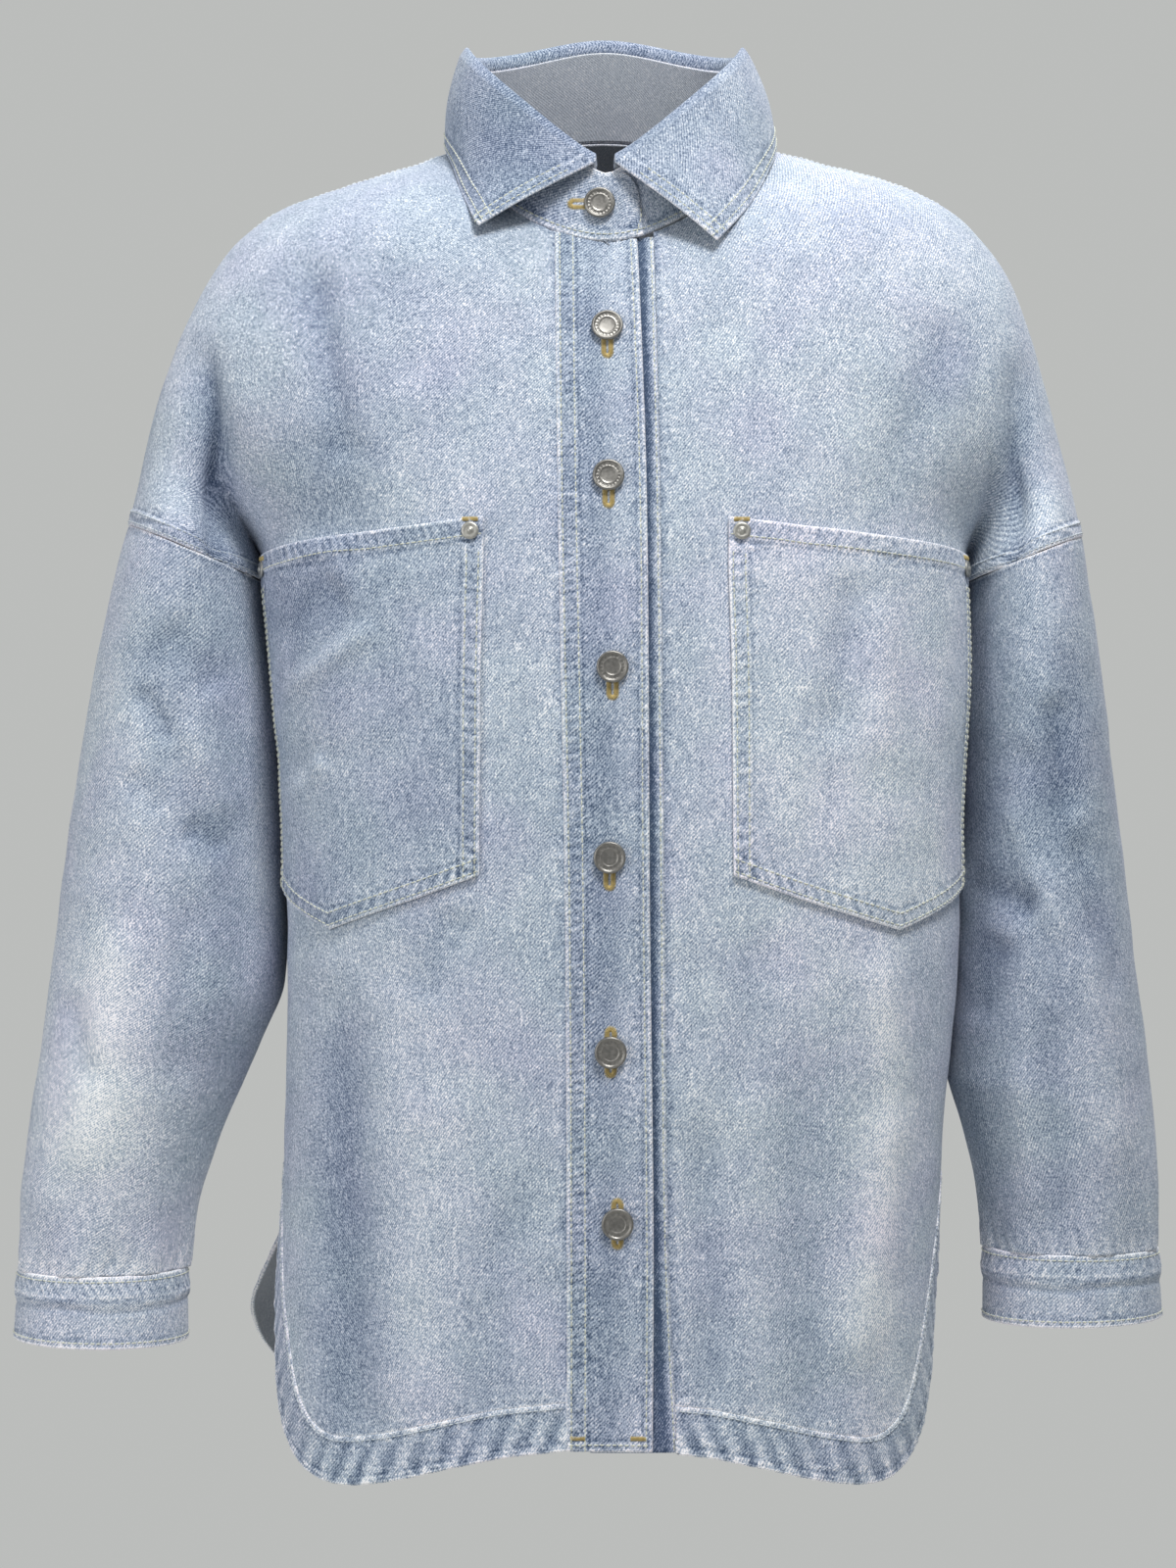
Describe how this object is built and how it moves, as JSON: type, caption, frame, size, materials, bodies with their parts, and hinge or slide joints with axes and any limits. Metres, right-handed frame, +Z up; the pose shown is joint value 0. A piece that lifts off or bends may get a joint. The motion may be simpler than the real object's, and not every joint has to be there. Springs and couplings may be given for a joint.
{
  "type": "denim jacket",
  "caption": "Loose denim shirt jacket in its worn, hollow form: dropped shoulders, patch chest pockets, buttoned placket, curved hem and folded collar.",
  "frame": {"origin": "middle of the base of the neck, where the wearer's neck and shoulders hold the jacket up", "axes": "+X to the wearer's left, +Y to the back, +Z up; the buttoned front faces -Y"},
  "size_m": [0.6502, 0.2601, 0.8181],
  "materials": {
    "denim": "light washed cotton twill, matt",
    "nickel": "dull antique nickel",
    "rivet": "worn pale metal"
  },
  "bodies": {
    "root": {"front_right": "denim", "front_left": "denim", "back": "denim", "sleeve_right": "denim", "sleeve_left": "denim", "cuff_right": "denim", "cuff_left": "denim", "collar_stand": "denim", "collar": "denim", "placket": "denim", "under_placket": "denim", "pocket_right": "denim", "pocket_left": "denim", "hem_band_right": "denim", "hem_band_left": "denim", "hem_band_back": "denim", "button_1": "nickel", "button_2": "nickel", "button_3": "nickel", "button_4": "nickel", "button_5": "nickel", "button_6": "nickel", "button_7": "nickel", "rivet_right_outer": "rivet", "rivet_right_inner": "rivet", "rivet_left_inner": "rivet", "rivet_left_outer": "rivet"}
  },
  "joints": []
}
